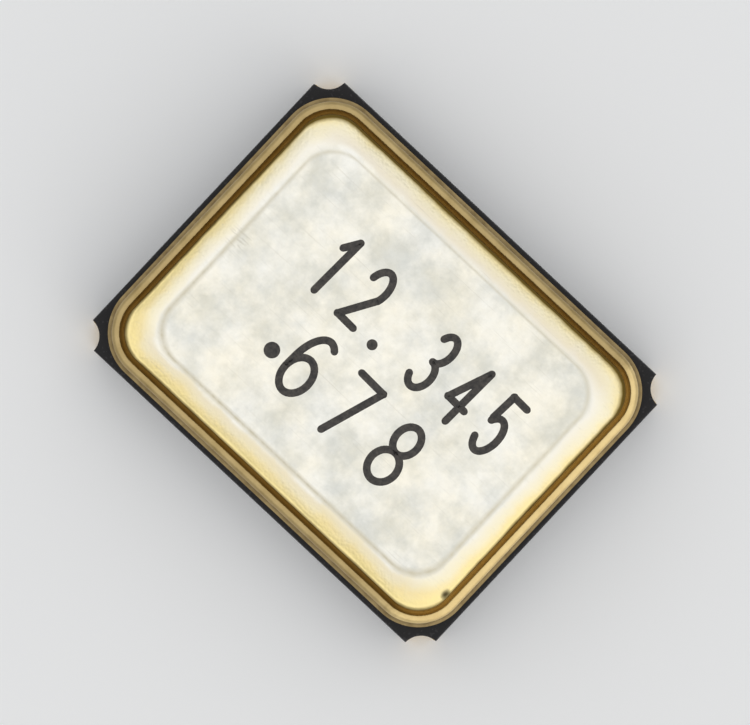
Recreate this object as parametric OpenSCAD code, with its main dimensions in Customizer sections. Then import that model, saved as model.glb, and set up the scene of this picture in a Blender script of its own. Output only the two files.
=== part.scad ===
// Surface-mount crystal oscillator in a seam-welded ceramic package.
//
// The origin is the centre of the footprint, on the plane of the solder pads.
// +X runs along the long side, +Z points up through the lid. Seen from above with
// +X to the right, terminal 1 is at the lower left and the count is anticlockwise.
// Front is -Y, back is +Y. The quartz is glued at its -X end, its root.

/* [Ceramic base] */
// Length of the ceramic base
body_l = 3.2; // [3:0.05:3.8]
// Width of the ceramic base
body_w = 2.5; // [2.4:0.05:3.2]
// Thickness of the lowest ceramic layer, which carries the chip
floor_t = 0.24; // [0.16:0.02:0.4]
// Thickness of the middle ceramic layer, which encloses the chip
shelf_t = 0.22; // [0.18:0.02:0.4]
// Thickness of the top ceramic layer, which encloses the quartz
wall_t = 0.2; // [0.14:0.02:0.4]
// Corner radius of the cavity and of the chip's pocket
cavity_r = 0.1; // [0.04:0.01:0.2]
// Radius of the quarter-round notch down each corner of the base
notch_r = 0.15; // [0.1:0.01:0.17]

/* [Solder terminals] */
// Length of a solder pad
pad_l = 0.9; // [0.7:0.05:1.05]
// Width of a solder pad
pad_w = 0.75; // [0.6:0.05:0.9]
// Distance from the edges of the base to a pad
pad_inset = 0.08; // [0.04:0.01:0.12]
// Corner cut on the pad of terminal 1, which shows where the count begins
index_cut = 0.2; // [0.1:0.02:0.3]
// Thickness of a solder pad
pad_t = 0.02; // [0.01:0.005:0.05]
// Thickness of the metal in a corner notch
notch_metal_t = 0.015; // [0.01:0.005:0.03]
// Width of the collar that joins the metal in a notch to its pad
collar_w = 0.06; // [0.04:0.01:0.1]

/* [Seal] */
// Distance from the edges of the base to the seal ring
ring_margin = 0.07; // [0.05:0.01:0.1]
// Width of the seal ring's wall
ring_wall = 0.27; // [0.2:0.01:0.3]
// Height of the seal ring
ring_t = 0.15; // [0.1:0.01:0.25]
// Outer corner radius of the seal ring
ring_r = 0.34; // [0.28:0.01:0.4]
// Inner corner radius of the seal ring
ring_inner_r = 0.12; // [0.08:0.01:0.2]
// Radius of the round on the seal ring's outer top edge
ring_edge_r = 0.03; // [0.01:0.005:0.04]
// Distance from the seal ring's inner wall to the cavity's wall
ring_setback = 0.06; // [0.04:0.01:0.1]
// Thickness of the printed metal under the braze
rim_metal_t = 0.02; // [0.01:0.005:0.03]
// Thickness of the braze under the seal ring
braze_t = 0.01; // [0.005:0.005:0.02]
// Size of the braze fillets along the seal ring's foot
fillet = 0.03; // [0.01:0.005:0.035]

/* [Lid] */
// Thickness of the lid
lid_t = 0.09; // [0.07:0.01:0.15]
// Distance from the seal ring's outer wall to the lid's edge
lid_margin = 0.09; // [0.07:0.01:0.11]
// Outer corner radius of the lid
lid_r = 0.25; // [0.18:0.01:0.3]
// Width of the welded border
weld_w = 0.17; // [0.1:0.01:0.2]
// How far the welded border slopes down to the lid's edge
weld_drop = 0.03; // [0.01:0.005:0.04]
// Corner radius of the flat field inside the welded border
field_r = 0.26; // [0.1:0.01:0.35]
// Radius of the groove that the weld leaves in the ring beside the lid
groove_r = 0.015; // [0.01:0.001:0.017]

/* [Quartz] */
// Thickness of the quartz blank, which sets the frequency
quartz_t = 0.07; // [0.05:0.005:0.12]
// Gap between the cavity's wall and the long edges of the quartz
quartz_side_gap = 0.18; // [0.1:0.01:0.25]
// Gap between the cavity's wall and the glued end of the quartz
quartz_root_gap = 0.12; // [0.11:0.01:0.2]
// Gap between the cavity's wall and the free end of the quartz
quartz_tip_gap = 0.2; // [0.1:0.01:0.3]
// Thickness of an electrode film
film_t = 0.002; // [0.001:0.001:0.005]
// Length of an electrode
film_l = 1.2; // [0.8:0.05:1.5]
// Width of an electrode
film_w = 0.9; // [0.6:0.05:1]
// Corner radius of an electrode
film_r = 0.1; // [0.05:0.01:0.2]
// Width of an electrode's tab
tab_w = 0.2; // [0.14:0.01:0.26]
// Radius of a glue dot where it meets its land
glue_r = 0.14; // [0.11:0.01:0.15]
// How far a glue dot rises over the quartz
glue_over = 0.035; // [0.02:0.005:0.05]
// Thickness of the glue under the quartz
glue_gap = 0.02; // [0.01:0.005:0.04]
// Distance from the end of the quartz to the middle of a glue dot
glue_in = 0.05; // [0.04:0.01:0.08]
// Distance from a long edge of the quartz to the middle of a glue dot
glue_side = 0.18; // [0.15:0.01:0.25]
// Length of the rest pad under the free end of the quartz
rest_l = 0.1; // [0.06:0.01:0.15]
// Width of the rest pad
rest_w = 0.7; // [0.4:0.05:1]
// Distance from the free end of the quartz to the rest pad
rest_in = 0.05; // [0.02:0.01:0.1]
// Gap between the rest pad and the quartz
rest_gap = 0.01; // [0.005:0.001:0.015]

/* [Chip] */
// Length of the chip
chip_l = 1; // [0.9:0.05:1.1]
// Width of the chip
chip_w = 0.75; // [0.65:0.05:0.9]
// Thickness of the chip
chip_t = 0.13; // [0.08:0.01:0.18]
// Gap between the chip and the walls of its pocket
chip_gap = 0.15; // [0.08:0.01:0.2]
// Spacing of the bumps along the chip
bump_pitch = 0.34; // [0.25:0.01:0.4]
// Spacing between the chip's two rows of bumps
bump_rows = 0.48; // [0.4:0.02:0.56]
// Radius of a bump
bump_r = 0.035; // [0.025:0.005:0.045]
// Height of a bump
bump_h = 0.02; // [0.015:0.005:0.04]

/* [Leads inside the base] */
// Thickness of a printed lead
lead_t = 0.015; // [0.01:0.005:0.02]
// Width of a printed lead
lead_w = 0.06; // [0.04:0.01:0.08]
// Radius of the land under a bump or round a via
land_r = 0.06; // [0.055:0.005:0.07]
// Radius of a via
via_r = 0.04; // [0.03:0.005:0.05]
// Distance from the inner edges of a pad to its via
via_in = 0.2; // [0.15:0.01:0.25]
// Distance from the chip's middle line to the leads of the quartz
inner_run_y = 0.08; // [0.06:0.01:0.1]
// How far a land on the shelf reaches past its glue dot
shelf_land_margin = 0.015; // [0.01:0.005:0.02]

/* [Hidden] */
$fn = 64;
// Number of sides of the corner arcs inside a hull
hull_fn = 32;
// How far a cutting shape runs past the face that it cuts
past = 0.1;

// Directions along X and Y
LEFT = -1;
RIGHT = 1;
FRONT = -1;
BACK = 1;

// Heights of the layers, from the pads up
floor_z = pad_t;
pocket_z = floor_z + floor_t;
shelf_z = pocket_z + shelf_t;
rim_z = shelf_z + wall_t;
braze_z = rim_z + rim_metal_t;
ring_z = braze_z + braze_t;
lid_z = ring_z + ring_t;

// Outlines of the seal, from the body inwards
ring_l = body_l - 2 * ring_margin;
ring_w = body_w - 2 * ring_margin;
ring_inner_l = ring_l - 2 * ring_wall;
ring_inner_w = ring_w - 2 * ring_wall;
cavity_l = ring_inner_l - 2 * ring_setback;
cavity_w = ring_inner_w - 2 * ring_setback;
lid_l = ring_l - 2 * lid_margin;
lid_w = ring_w - 2 * lid_margin;

// The chip in its pocket
pocket_l = chip_l + 2 * chip_gap;
pocket_w = chip_w + 2 * chip_gap;
chip_z = pocket_z + lead_t + bump_h;

// The quartz and what holds it
quartz_x0 = -cavity_l / 2 + quartz_root_gap;
quartz_x1 = cavity_l / 2 - quartz_tip_gap;
quartz_l = quartz_x1 - quartz_x0;
quartz_w = cavity_w - 2 * quartz_side_gap;
quartz_x = (quartz_x0 + quartz_x1) / 2;
film_z = shelf_z + lead_t + glue_gap;
quartz_z = film_z + film_t;
glue_x = quartz_x0 + glue_in;
glue_y = quartz_w / 2 - glue_side;
glue_h = glue_gap + film_t + quartz_t + film_t + glue_over;
// Radius of the sphere whose cap has the glue dot's radius and height
glue_ball_r = (glue_r * glue_r + glue_h * glue_h) / (2 * glue_h);
rest_x = quartz_x1 - rest_in - rest_l / 2;

// Where a terminal's via stands, in the quarter with X and Y positive
via_x = body_l / 2 - pad_inset - pad_l + via_in;
via_y = body_w / 2 - pad_inset - pad_w + via_in;
bump_y = bump_rows / 2;

// A rectangle round the origin with round corners
module rounded(l, w, r) {
    square([l - 2 * r, w], center = true);
    square([l, w - 2 * r], center = true);
    for (x = [LEFT, RIGHT], y = [FRONT, BACK])
        translate([x * (l / 2 - r), y * (w / 2 - r)])
            circle(r);
}

// A flat frame between two rounded rectangles
module frame(l, w, r, inner_l, inner_w, inner_r) {
    difference() {
        rounded(l, w, r);
        rounded(inner_l, inner_w, inner_r);
    }
}

// Carries a profile round a rounded rectangle. The profile's X is the distance
// outwards from the outline, its Y is the height.
module carry_round(l, w, r) {
    for (turn = [0, 2])
        rotate(90 * turn) {
            translate([l / 2, w / 2 - r, 0])
                rotate([90, 0, 0])
                    linear_extrude(w - 2 * r)
                        children();
            translate([r - l / 2, w / 2, 0])
                rotate([90, 0, 90])
                    linear_extrude(l - 2 * r)
                        children();
            for (side = [0, 1])
                translate([(1 - 2 * side) * (l / 2 - r), w / 2 - r, 0])
                    rotate(90 * side)
                        rotate_extrude(angle = 90)
                            translate([r, 0])
                                children();
        }
}

// A straight printed strip with round ends
module strip(from, to, width) {
    run = to - from;
    translate(from)
        rotate(atan2(run[1], run[0]))
            translate([0, -width / 2])
                square([norm(run), width]);
    for (end = [from, to])
        translate(end)
            circle(width / 2);
}

// The body's outline with its four corner notches
module body_outline() {
    difference() {
        square([body_l, body_w], center = true);
        for (x = [LEFT, RIGHT], y = [FRONT, BACK])
            translate([x * body_l / 2, y * body_w / 2])
                circle(notch_r);
    }
}

// Three alumina layers fired into one block: a floor, a frame round the chip and
// a frame round the quartz. The fired-in leads and vias fill their own channels.
module ceramic_base() {
    color("#26262a")
        difference() {
            translate([0, 0, floor_z])
                linear_extrude(floor_t + shelf_t + wall_t)
                    body_outline();
            translate([0, 0, shelf_z])
                linear_extrude(wall_t + past)
                    rounded(cavity_l, cavity_w, cavity_r);
            translate([0, 0, pocket_z])
                linear_extrude(shelf_t + past)
                    rounded(pocket_l, pocket_w, cavity_r);
            terminal_lead(LEFT, FRONT);
            terminal_lead(RIGHT, FRONT);
            terminal_lead(RIGHT, BACK);
            terminal_lead(LEFT, BACK);
            quartz_lead(FRONT);
            quartz_lead(BACK);
            lid_ground_via();
        }
}

// A pad's outline in the quarter with X and Y positive
module pad_outline(cut) {
    outer = [body_l / 2 - pad_inset, body_w / 2 - pad_inset];
    inner = outer - [pad_l, pad_w];
    polygon([
        [inner[0] + cut, inner[1]],
        [outer[0], inner[1]],
        outer,
        [inner[0], outer[1]],
        [inner[0], inner[1] + cut]
    ]);
}

// A solder pad under the base, with the metal that climbs its corner notch
module terminal(x, y, cut = 0) {
    corner = [body_l / 2, body_w / 2];
    color("#d9b25f")
        mirror([x == LEFT ? 1 : 0, 0, 0])
            mirror([0, y == FRONT ? 1 : 0, 0]) {
                linear_extrude(pad_t)
                    difference() {
                        union() {
                            pad_outline(cut);
                            intersection() {
                                square(corner);
                                translate(corner)
                                    circle(notch_r + collar_w);
                            }
                        }
                        translate(corner)
                            circle(notch_r - notch_metal_t);
                    }
                linear_extrude(pocket_z)
                    intersection() {
                        square(corner);
                        translate(corner)
                            difference() {
                                circle(notch_r);
                                circle(notch_r - notch_metal_t);
                            }
                    }
            }
}

// A lead printed on the floor from a corner bump of the chip to the via that
// goes down to a terminal
module terminal_lead(x, y) {
    bump = [x * bump_pitch, y * bump_y];
    via = [x * via_x, y * via_y];
    color("#d9b25f") {
        translate([0, 0, pocket_z])
            linear_extrude(lead_t) {
                strip(bump, via, lead_w);
                for (end = [bump, via])
                    translate(end)
                        circle(land_r);
            }
        translate([via[0], via[1], floor_z])
            cylinder(h = floor_t, r = via_r);
    }
}

// A lead from a middle bump of the chip, under the chip, to the via that goes up
// to the quartz's land on the shelf
module quartz_lead(y) {
    bump = [0, y * bump_y];
    turn = [0, y * inner_run_y];
    bend = [-pocket_l / 2, y * inner_run_y];
    via = [glue_x, y * glue_y];
    land = 2 * (glue_r + shelf_land_margin);
    color("#d9b25f") {
        translate([0, 0, pocket_z])
            linear_extrude(lead_t) {
                strip(bump, turn, lead_w);
                strip(turn, bend, lead_w);
                strip(bend, via, lead_w);
                for (end = [bump, via])
                    translate(end)
                        circle(land_r);
            }
        translate([via[0], via[1], pocket_z])
            cylinder(h = shelf_t, r = via_r);
        translate([via[0], via[1], shelf_z])
            linear_extrude(lead_t)
                square(land, center = true);
    }
}

// The via in the wall that joins the seal ring, and so the lid, to ground
module lid_ground_via() {
    wall_middle = (body_l + cavity_l) / 4;
    color("#8f8a80")
        translate([wall_middle, -via_y, floor_z])
            cylinder(h = rim_z - floor_z, r = via_r);
}

// The printed and plated frame on the rim, as wide as the braze wets it
module rim_metal() {
    color("#d9b25f")
        translate([0, 0, rim_z])
            linear_extrude(rim_metal_t)
                frame(
                    ring_l + 2 * fillet, ring_w + 2 * fillet, ring_r + fillet,
                    ring_inner_l - 2 * fillet, ring_inner_w - 2 * fillet, ring_inner_r - fillet
                );
}

// The hollow profile of a braze fillet, against a wall on its -X side
module fillet_profile() {
    difference() {
        square(fillet);
        translate([fillet, fillet])
            circle(fillet);
    }
}

// The braze layer under the seal ring, with a fillet along both of its walls
module braze_joint() {
    color("#d9b25f")
        translate([0, 0, braze_z]) {
            linear_extrude(braze_t)
                frame(
                    ring_l + 2 * fillet, ring_w + 2 * fillet, ring_r + fillet,
                    ring_inner_l - 2 * fillet, ring_inner_w - 2 * fillet, ring_inner_r - fillet
                );
            translate([0, 0, braze_t]) {
                carry_round(ring_l, ring_w, ring_r)
                    fillet_profile();
                carry_round(ring_inner_l, ring_inner_w, ring_inner_r)
                    mirror([1, 0])
                        fillet_profile();
            }
        }
}

// The stamped alloy frame, rounded along its outer top edge, with the groove that
// the weld leaves beside the lid
module seal_ring() {
    color("#d9b25f")
        translate([0, 0, ring_z])
            difference() {
                linear_extrude(ring_t)
                    frame(ring_l, ring_w, ring_r, ring_inner_l, ring_inner_w, ring_inner_r);
                translate([0, 0, ring_t]) {
                    carry_round(ring_l, ring_w, ring_r)
                        difference() {
                            translate([-ring_edge_r, -ring_edge_r])
                                square(ring_edge_r + past);
                            translate([-ring_edge_r, -ring_edge_r])
                                circle(ring_edge_r);
                        }
                    carry_round(lid_l, lid_w, lid_r)
                        translate([groove_r, 0])
                            circle(groove_r);
                }
            }
}

// The lid: a flat plate whose border slopes down to its edge where the rollers
// welded it to the ring
module lid() {
    edge_t = lid_t - weld_drop;
    color("#ddd9cd")
        translate([0, 0, lid_z]) {
            linear_extrude(edge_t)
                rounded(lid_l, lid_w, lid_r);
            hull() {
                linear_extrude(edge_t)
                    rounded(lid_l, lid_w, lid_r, $fn = hull_fn);
                linear_extrude(lid_t)
                    rounded(lid_l - 2 * weld_w, lid_w - 2 * weld_w, field_r, $fn = hull_fn);
            }
        }
}

// The oscillator circuit, a silicon die with its circuit side down
module oscillator_chip() {
    color("#5b5f68")
        translate([-chip_l / 2, -chip_w / 2, chip_z])
            cube([chip_l, chip_w, chip_t]);
}

// Six gold bumps that hold and connect the chip
module chip_bumps() {
    color("#e2c06a")
        for (x = [-1:1], y = [FRONT, BACK])
            translate([x * bump_pitch, y * bump_y, pocket_z + lead_t])
                cylinder(h = bump_h, r = bump_r);
}

// The rectangular quartz blank
module quartz_blank() {
    color("#e6ecee")
        translate([quartz_x0, -quartz_w / 2, quartz_z])
            cube([quartz_l, quartz_w, quartz_t]);
}

// An electrode film on one face of the quartz, with a tab from its corner to the
// square that lies under or over a glue dot
module electrode(z, y) {
    square_end = [quartz_x0 + tab_w, y * glue_y];
    corner = [quartz_x - film_l / 2 + tab_w, y * (film_w / 2 - tab_w)];
    color("#e2c06a")
        translate([0, 0, z])
            linear_extrude(film_t) {
                translate([quartz_x, 0])
                    rounded(film_l, film_w, film_r);
                strip(square_end, corner, tab_w);
                translate([quartz_x0, y * glue_y - tab_w / 2])
                    square(tab_w);
            }
}

module electrode_top() {
    electrode(quartz_z + quartz_t, BACK);
}

module electrode_bottom() {
    electrode(film_z, FRONT);
}

// A dot of silver-filled glue, a round cap that grips an end corner of the quartz
module glue_dot(y) {
    base_z = shelf_z + lead_t;
    color("#a9a9a6")
        difference() {
            translate([glue_x, y * glue_y, base_z])
                intersection() {
                    translate([0, 0, glue_h - glue_ball_r])
                        sphere(glue_ball_r);
                    cylinder(h = glue_h + past, r = glue_ball_r + past);
                }
            quartz_blank();
            electrode_top();
            electrode_bottom();
        }
}

// The low printed bar that stops the free end of the quartz from swinging down
module rest_pad() {
    color("#3a3a3e")
        translate([rest_x - rest_l / 2, -rest_w / 2, shelf_z])
            cube([rest_l, rest_w, film_z - rest_gap - shelf_z]);
}

ceramic_base();
terminal(LEFT, FRONT, index_cut);  // terminal_1_enable
terminal(RIGHT, FRONT);  // terminal_2_ground
terminal(RIGHT, BACK);  // terminal_3_output
terminal(LEFT, BACK);  // terminal_4_supply
terminal_lead(LEFT, FRONT);  // enable_lead
terminal_lead(RIGHT, FRONT);  // ground_lead
terminal_lead(RIGHT, BACK);  // output_lead
terminal_lead(LEFT, BACK);  // supply_lead
quartz_lead(FRONT);  // quartz_lead_front
quartz_lead(BACK);  // quartz_lead_back
lid_ground_via();
rim_metal();
braze_joint();
seal_ring();
lid();
oscillator_chip();
chip_bumps();
glue_dot(FRONT);  // glue_dot_front
glue_dot(BACK);  // glue_dot_back
quartz_blank();
electrode_top();
electrode_bottom();
rest_pad();
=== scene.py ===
import bpy
import numpy as np
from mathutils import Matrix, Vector


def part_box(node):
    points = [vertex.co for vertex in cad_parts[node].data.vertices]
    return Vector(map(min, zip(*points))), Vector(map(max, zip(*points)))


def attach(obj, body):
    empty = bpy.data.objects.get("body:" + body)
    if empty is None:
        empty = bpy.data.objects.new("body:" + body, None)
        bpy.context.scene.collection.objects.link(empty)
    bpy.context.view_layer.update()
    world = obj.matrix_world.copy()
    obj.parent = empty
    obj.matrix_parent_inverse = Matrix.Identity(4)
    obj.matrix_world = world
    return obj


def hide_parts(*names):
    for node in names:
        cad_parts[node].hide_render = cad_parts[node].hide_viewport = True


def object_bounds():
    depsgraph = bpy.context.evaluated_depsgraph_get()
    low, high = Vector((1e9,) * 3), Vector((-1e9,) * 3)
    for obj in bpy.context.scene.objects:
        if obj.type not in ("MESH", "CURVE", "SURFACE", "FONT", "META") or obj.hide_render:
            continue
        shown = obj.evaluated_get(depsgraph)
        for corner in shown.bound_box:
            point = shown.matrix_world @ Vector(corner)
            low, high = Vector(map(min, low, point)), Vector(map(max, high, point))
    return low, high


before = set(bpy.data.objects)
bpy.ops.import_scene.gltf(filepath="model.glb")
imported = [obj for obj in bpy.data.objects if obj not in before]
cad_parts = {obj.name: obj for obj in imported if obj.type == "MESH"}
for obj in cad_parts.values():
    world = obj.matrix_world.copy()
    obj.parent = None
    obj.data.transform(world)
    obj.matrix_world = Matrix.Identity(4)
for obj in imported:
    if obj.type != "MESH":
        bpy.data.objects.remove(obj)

cad_low, cad_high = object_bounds()


# ---------------------------------------------------------------------------
# Ceramic base: three layers of black alumina tape, punched with the chip's pocket, the
# quartz's cavity and the corner notches, stacked, scored and fired. Snapping it out of its
# sheet left the sides rough, but for a smooth strip at top and bottom that leans in a bit.
MM = 0.001
BASE_LOW, BASE_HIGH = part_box("ceramic_base")
BODY_L, BODY_W = BASE_HIGH[0], BASE_HIGH[1]
BASE_Z, RIM_Z = BASE_LOW[2], BASE_HIGH[2]
NOTCH_R = 0.15 * MM
FLOOR_T = 0.24 * MM
SHELF_T = 0.22 * MM
CAVITY_L, CAVITY_W, CAVITY_R = 1.2 * MM, 0.85 * MM, 0.1 * MM
POCKET_L, POCKET_W = 0.65 * MM, 0.525 * MM
FIRED_EDGE = 0.012 * MM
LAYER_GROOVE = 0.0045 * MM
SCORE_H, SCORE_IN = 0.1 * MM, 0.006 * MM
SNAP_HALF = (RIM_Z - BASE_Z) / 2 - SCORE_H
SNAP_FROM, SNAP_FULL = SNAP_HALF + 0.006 * MM, SNAP_HALF - 0.010 * MM
SNAP_RAGGED = 0.04 * MM
FACE_FLAT_FROM = 1.4 * FIRED_EDGE


def rectangle_loop(half_l, half_w, r, notched=False, side=24, arc=16):
    """A rectangle's outline, anticlockwise from the middle of its +X side. A corner is
    a quarter circle of radius r about a point r inside both sides, or, where notched,
    about the corner itself. Sides and corners always hold the same number of points,
    so that any two loops can be joined by quads. One quarter is worked out, and the
    others are its mirror images."""
    along = np.linspace(0, 1, side + 1)
    turn = np.linspace(0, np.pi / 2, arc + 1)
    up = np.stack([np.full(side, half_l), along[:-1] * (half_w - r)], 1)
    over = np.stack([(1 - along[1:]) * (half_l - r), np.full(side, half_w)], 1)
    if notched:
        corner = np.stack([half_l - r * np.sin(turn), half_w - r * np.cos(turn)], 1)
    else:
        corner = np.stack([half_l - r + r * np.cos(turn), half_w - r + r * np.sin(turn)], 1)
    quarter = np.concatenate([up, corner, over])
    back = quarter[::-1]
    return np.concatenate(
        [quarter[:-1], (back * [-1, 1])[:-1], -quarter[:-1], (back * [1, -1])[:-1]]
    )


def grown(loop, by):
    """The loop with each point moved outwards by that distance from both of the
    edges that meet there: along the edges' mean normal, over the cosine of half
    the angle between them."""
    edge = np.roll(loop, -1, 0) - loop
    edge /= np.linalg.norm(edge, axis=1, keepdims=True)
    normal = np.stack([edge[:, 1], -edge[:, 0]], 1)
    mean = normal + np.roll(normal, 1, 0)
    return loop + 2 * by * mean / (mean * mean).sum(1, keepdims=True)


def at_height(loop, z):
    """A flat loop as a ring of 3-D points at one height."""
    return np.column_stack([loop, np.full(len(loop), z)])


def skin(rings, ends):
    """Quads between rings of points, an array of (ring, point, axis). ends is "faces",
    where the first and last ring are each filled with one flat face, "point", where
    the last ring is drawn together in its middle instead, or "loop", where the last
    ring is joined to the first. Each corner's UV is the distance round the longest
    ring and the distance across the rings, in millimetres. If the volume inside
    comes out negative, every face is turned over."""
    rings = np.asarray(rings)
    count, size = rings.shape[:2]
    row = np.arange(count if ends == "loop" else count - 1)[:, None]
    col = np.arange(size)[None, :]
    here, there = row * size, (row + 1) % count * size
    right = (col + 1) % size
    quads = np.stack([here + col, here + right, there + right, there + col], -1).reshape(-1, 4)
    steps = np.linalg.norm(np.roll(rings, -1, 1) - rings, axis=2)
    round_it = np.append(0, np.cumsum(steps[steps.sum(1).argmax()])) / MM
    over = np.linalg.norm(np.roll(rings, -1, 0) - rings, axis=2).mean(1)
    across = np.append(0, np.cumsum(over)) / MM
    flat, level = np.broadcast_arrays(col, row)
    corners = ((flat, level), (flat + 1, level), (flat + 1, level + 1), (flat, level + 1))
    uv = np.stack([np.stack([round_it[i], across[j]], -1) for i, j in corners], 2).reshape(-1, 2)
    points = rings.reshape(-1, 3)
    a, b, c, d = (points[quads[:, i]] for i in range(4))
    volume = (a * np.cross(b, c)).sum() + (a * np.cross(c, d)).sum()
    faces = quads.tolist()
    first = np.arange(size)
    last = first + (count - 1) * size
    start, stop = round_it[:-1], round_it[1:]
    far = np.full(size, across[count - 1])
    if ends in ("faces", "point"):
        faces.append(first[::-1].tolist())
        uv = np.concatenate([uv, np.stack([start, 0 * far], 1)[::-1]])
    if ends == "faces":
        faces.append(last.tolist())
        uv = np.concatenate([uv, np.stack([start, far], 1)])
    if ends == "point":
        tip = np.full(size, len(points))
        points = np.append(points, [rings[-1].mean(0)], 0)
        faces += np.stack([last, np.roll(last, -1), tip], 1).tolist()
        fan = np.stack([start, far, stop, far, start, far], 1)
        uv = np.concatenate([uv, fan.reshape(-1, 2)])
    if volume < 0:
        cuts = np.cumsum([len(face) for face in faces])[:-1]
        uv = np.concatenate([part[::-1] for part in np.split(uv, cuts)])
        faces = [face[::-1] for face in faces]
    return points, faces, uv


def make_piece(name, skins, material, nodes=(), crease=35):
    """One object of one or more skins, smooth except where faces meet at more than
    crease degrees. It rides on the body and stands for the CAD nodes given."""
    start = np.cumsum([0] + [len(s[0]) for s in skins])
    points = np.concatenate([s[0] for s in skins])
    faces = [[v + start[i] for v in face] for i, s in enumerate(skins) for face in s[1]]
    mesh = bpy.data.meshes.new(name)
    mesh.from_pydata(points, [], faces)
    mesh.uv_layers.new(name="way").data.foreach_set(
        "uv", np.concatenate([s[2] for s in skins]).astype(np.float32).ravel()
    )
    mesh.shade_smooth()
    mesh.set_sharp_from_angle(angle=np.radians(crease))
    mesh.materials.append(material)
    mesh.update()
    piece = bpy.data.objects.new(name, mesh)
    bpy.context.scene.collection.objects.link(piece)
    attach(piece, "root")
    if nodes:
        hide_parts(*nodes)
    return piece


def add(tree, kind, inputs={}, **settings):
    """A new node with its settings, and its inputs set to values or linked to sockets."""
    node = tree.nodes.new(kind)
    for key, value in settings.items():
        setattr(node, key, value)
    for key, value in inputs.items():
        if isinstance(value, bpy.types.NodeSocket):
            tree.links.new(value, node.inputs[key])
        else:
            node.inputs[key].default_value = value
    return node


def math_node(tree, operation, a, b=0.0, c=0.0, clamp=False):
    """The output of a Math node of one, two or three values."""
    inputs = {0: a, 1: b, 2: c}
    return add(tree, "ShaderNodeMath", inputs, operation=operation, use_clamp=clamp).outputs[0]


def ramp(tree, value, start, end, low=0.0, high=1.0, **settings):
    """A number that is low up to where the value reaches start, high from where it
    reaches end, and changes evenly between."""
    inputs = {0: value, 1: start, 2: end, 3: low, 4: high}
    return add(tree, "ShaderNodeMapRange", inputs, **settings).outputs[0]


def mixed(tree, factor, a, b, blend="MIX"):
    """The colour between a and b or, with blend MULTIPLY, between a and a times b."""
    inputs = {0: factor, 6: a, 7: b}
    return add(tree, "ShaderNodeMix", inputs, data_type="RGBA", blend_type=blend).outputs[2]


def in_units(tree, place, size):
    """A place counted in units of a size: its vector times one over the size."""
    inputs = {0: place, 3: math_node(tree, "DIVIDE", 1.0, size)}
    return add(tree, "ShaderNodeVectorMath", inputs, operation="SCALE").outputs[0]


def shared_effect(name, inputs, outputs):
    """An empty node group with named sockets, what it is given and what it makes."""
    tree = bpy.data.node_groups.new(name, "ShaderNodeTree")
    for label, kind in inputs.items():
        tree.interface.new_socket(name=label, in_out="INPUT", socket_type="NodeSocket" + kind)
    for label, kind in outputs.items():
        tree.interface.new_socket(name=label, in_out="OUTPUT", socket_type="NodeSocket" + kind)
    return tree, add(tree, "NodeGroupInput").outputs, add(tree, "NodeGroupOutput").inputs


def use_effect(tree, group, inputs):
    """The outputs of a shared effect, placed in a material."""
    return add(tree, "ShaderNodeGroup", inputs, node_tree=group).outputs


def new_finish(name, metallic, specular=0.5):
    """A material, its node tree, its Principled shader and its Object coordinates."""
    material = bpy.data.materials.new(name)
    material.use_nodes = True
    tree = material.node_tree
    shader = tree.nodes["Principled BSDF"]
    shader.inputs["Metallic"].default_value = metallic
    shader.inputs["Specular IOR Level"].default_value = specular
    here = add(tree, "ShaderNodeTexCoord").outputs["Object"]
    return material, tree, shader, here


def rough_between(tree, shader, mask, low, high):
    """Feeds the shader's roughness: low where the mask is 0, high where it is 1."""
    tree.links.new(ramp(tree, mask, 0.0, 1.0, low, high), shader.inputs["Roughness"])


def raise_surface(tree, shader, height, depth):
    """Feeds the shader's normal from a height of 0 to 1, which stands for that depth."""
    bump = add(tree, "ShaderNodeBump", {"Height": height, "Distance": depth, "Strength": 1.0})
    tree.links.new(bump.outputs["Normal"], shader.inputs["Normal"])


# Shared effect: patches of two colours that run softly into each other
MOTTLE, given, made = shared_effect(
    "Mottle",
    {"Vector": "Vector", "Patch Size": "Float", "Contrast": "Float",
     "Dark Colour": "Color", "Light Colour": "Color"},
    {"Colour": "Color", "Value": "Float"},
)
cloud = add(MOTTLE, "ShaderNodeTexNoise", {
    "Vector": in_units(MOTTLE, given["Vector"], given["Patch Size"]),
    "Scale": 1.0, "Detail": 4.0, "Roughness": 0.6}).outputs[0]
centred = math_node(MOTTLE, "SUBTRACT", cloud, 0.5)
spread = math_node(MOTTLE, "MULTIPLY_ADD", centred, given["Contrast"], 0.5, clamp=True)
MOTTLE.links.new(spread, made["Value"])
MOTTLE.links.new(mixed(MOTTLE, spread, given["Dark Colour"], given["Light Colour"]), made["Colour"])

# Shared effect: the crystal grain of a fired or plated surface
GRAIN, given, made = shared_effect(
    "Grain", {"Vector": "Vector", "Grain Size": "Float"}, {"Height": "Float", "Crystals": "Float"}
)
fine = in_units(GRAIN, given["Vector"], given["Grain Size"])
cells = add(GRAIN, "ShaderNodeTexVoronoi", {"Vector": fine, "Scale": 1.0}).outputs
haze = add(GRAIN, "ShaderNodeTexNoise", {"Vector": fine, "Scale": 0.7, "Detail": 3.0}).outputs[0]
GRAIN.links.new(math_node(GRAIN, "MULTIPLY_ADD", cells["Distance"], -0.5, haze), made["Height"])
each_crystal = add(GRAIN, "ShaderNodeSeparateColor", {0: cells["Color"]}).outputs[0]
GRAIN.links.new(each_crystal, made["Crystals"])

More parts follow.
